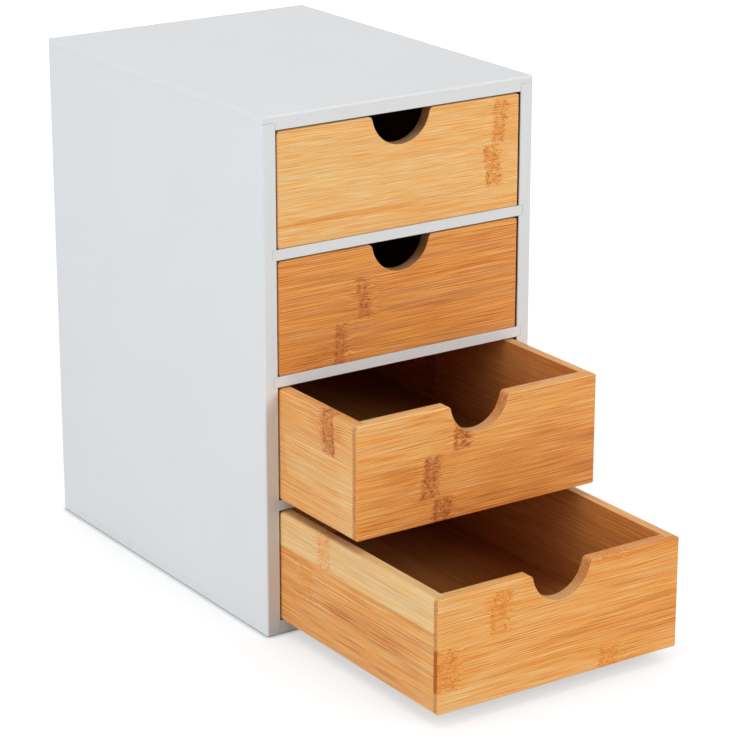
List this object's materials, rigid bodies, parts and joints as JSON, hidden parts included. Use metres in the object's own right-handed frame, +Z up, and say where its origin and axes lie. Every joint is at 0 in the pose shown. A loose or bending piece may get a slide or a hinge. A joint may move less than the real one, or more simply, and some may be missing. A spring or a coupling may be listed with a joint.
{
  "type": "desktop mini drawers",
  "caption": "Narrow upright desktop organizer: a white painted case with stacked bamboo drawers that slide out by finger notches.",
  "frame": {"origin": "centre of the case's bottom face, on the surface that the case stands on", "axes": "+X to the right as seen from the front, +Y from the drawers' fronts to the back panel, +Z up"},
  "size_m": [0.15, 0.3257, 0.25],
  "materials": {
    "case_paint": "satin white paint on fibreboard",
    "bamboo_light": "satin varnish on pale pressed bamboo",
    "bamboo_mid": "satin varnish on pressed bamboo",
    "bamboo_dark": "satin varnish on darker pressed bamboo"
  },
  "bodies": {
    "case": {"top_panel": "case_paint", "bottom_panel": "case_paint", "left_side_panel": "case_paint", "right_side_panel": "case_paint", "back_panel": "case_paint", "upper_divider": "case_paint", "middle_divider": "case_paint", "lower_divider": "case_paint"},
    "drawer_1": {"drawer_1_front": "bamboo_light", "drawer_1_left_side": "bamboo_light", "drawer_1_right_side": "bamboo_light", "drawer_1_back": "bamboo_light", "drawer_1_base": "bamboo_light"},
    "drawer_2": {"drawer_2_front": "bamboo_dark", "drawer_2_left_side": "bamboo_dark", "drawer_2_right_side": "bamboo_dark", "drawer_2_back": "bamboo_dark", "drawer_2_base": "bamboo_dark"},
    "drawer_3": {"drawer_3_front": "bamboo_mid", "drawer_3_left_side": "bamboo_mid", "drawer_3_right_side": "bamboo_mid", "drawer_3_back": "bamboo_mid", "drawer_3_base": "bamboo_mid"},
    "drawer_4": {"drawer_4_front": "bamboo_mid", "drawer_4_left_side": "bamboo_mid", "drawer_4_right_side": "bamboo_mid", "drawer_4_back": "bamboo_mid", "drawer_4_base": "bamboo_mid"}
  },
  "joints": [
    {"name": "drawer_1_slide", "type": "slide", "parent": "case", "child": "drawer_1", "axis": [0, -1, 0], "range_m": [0, 0.17]},
    {"name": "drawer_2_slide", "type": "slide", "parent": "case", "child": "drawer_2", "axis": [0, -1, 0], "range_m": [0, 0.17]},
    {"name": "drawer_3_slide", "type": "slide", "parent": "case", "child": "drawer_3", "axis": [0, -1, 0], "range_m": [-0.063, 0.107]},
    {"name": "drawer_4_slide", "type": "slide", "parent": "case", "child": "drawer_4", "axis": [0, -1, 0], "range_m": [-0.126, 0.044]}
  ]
}
